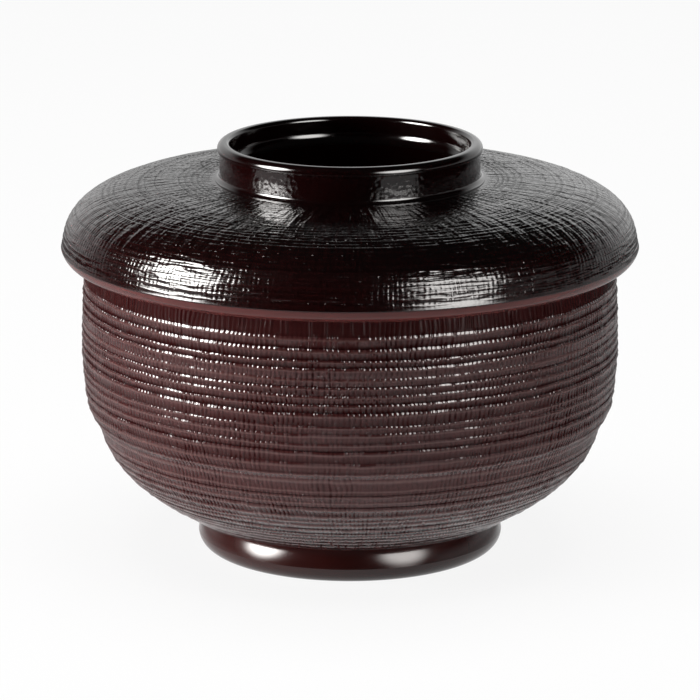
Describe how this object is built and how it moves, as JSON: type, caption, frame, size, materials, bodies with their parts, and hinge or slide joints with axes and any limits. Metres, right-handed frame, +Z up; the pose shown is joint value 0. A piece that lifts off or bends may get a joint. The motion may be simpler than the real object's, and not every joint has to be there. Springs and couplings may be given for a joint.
{
  "type": "lidded rice bowl",
  "caption": "Round lacquer rice bowl on a foot ring, with an overhanging domed lid topped by a grip ring; the lid lifts off and stands inverted as a dish.",
  "frame": {"origin": "centre of the foot ring's face on the table", "axes": "+Z up along the axis of the bowl and lid; X and Y are free, because the object is round"},
  "size_m": [0.1338, 0.1338, 0.0961],
  "materials": {
    "bowl_lacquer": "burgundy lacquer over a cloth and turned-line relief",
    "foot_lacquer": "smooth gloss lacquer",
    "lid_lacquer": "near-black burgundy lacquer over a cloth relief",
    "ring_lacquer": "gloss lacquer, smooth on the lip and faintly textured on the wall"
  },
  "bodies": {
    "bowl": {"bowl_body": "bowl_lacquer", "foot_ring": "foot_lacquer"},
    "lid": {"lid_body": "lid_lacquer", "lid_ring": "ring_lacquer"}
  },
  "joints": [
    {"name": "lid_lift", "type": "slide", "parent": "bowl", "child": "lid", "axis": [0, 0, 1], "range_m": [0, 0.08]}
  ]
}
